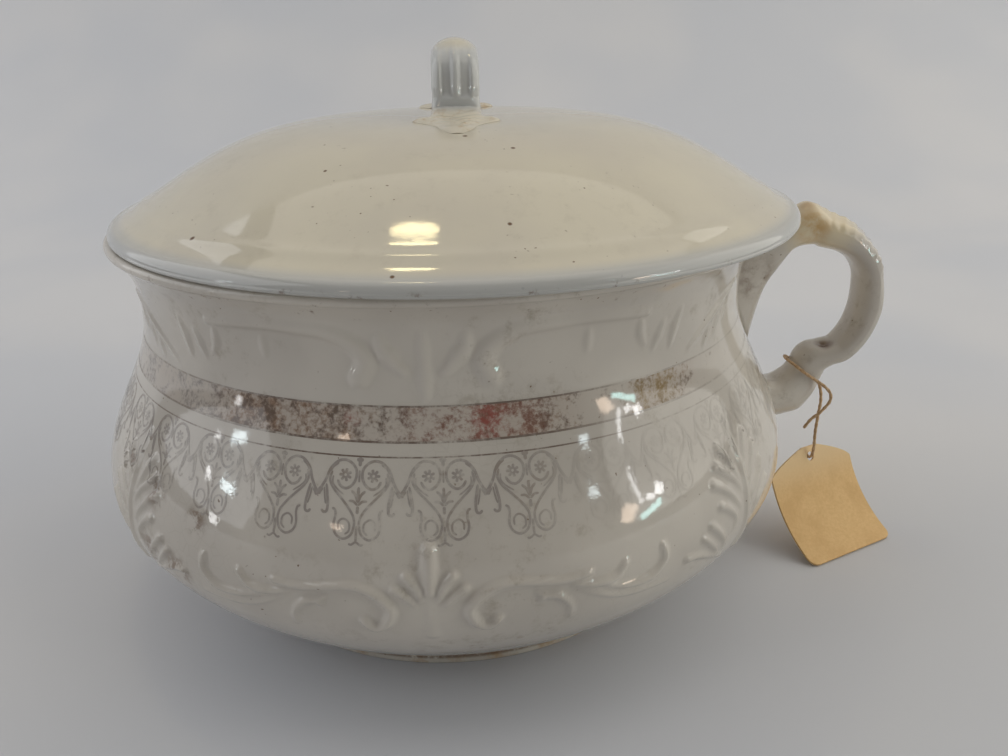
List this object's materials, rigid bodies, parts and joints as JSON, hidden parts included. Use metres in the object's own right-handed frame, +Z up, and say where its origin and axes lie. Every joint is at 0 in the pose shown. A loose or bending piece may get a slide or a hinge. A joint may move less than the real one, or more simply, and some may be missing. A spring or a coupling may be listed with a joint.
{
  "type": "lidded chamber pot",
  "caption": "White glazed chamber pot with a wide bellied bowl, an ear handle, a lift-off domed lid with a loop handle, and a blank card tag on a string.",
  "frame": {"origin": "centre of the plane that the foot ring rests on", "axes": "+Z up along the bowl's axis, +X towards the ear handle, -Y towards the front with the card tag"},
  "size_m": [0.298, 0.2496, 0.1919],
  "materials": {
    "body_glaze": "glossy white glaze, a little worn",
    "lid_glaze": "glossy cream-white glaze with fine crazing",
    "twine": "twisted brown string",
    "card": "plain tan card"
  },
  "bodies": {
    "pot": {"pot_body": "body_glaze", "handle": "body_glaze", "tag_string": "twine", "paper_tag": "card"},
    "lid": {"lid": "lid_glaze", "lid_handle": "lid_glaze"}
  },
  "joints": [
    {"name": "lid_lift", "type": "slide", "parent": "pot", "child": "lid", "axis": [0, 0, 1], "range_m": [0, 0.1]}
  ]
}
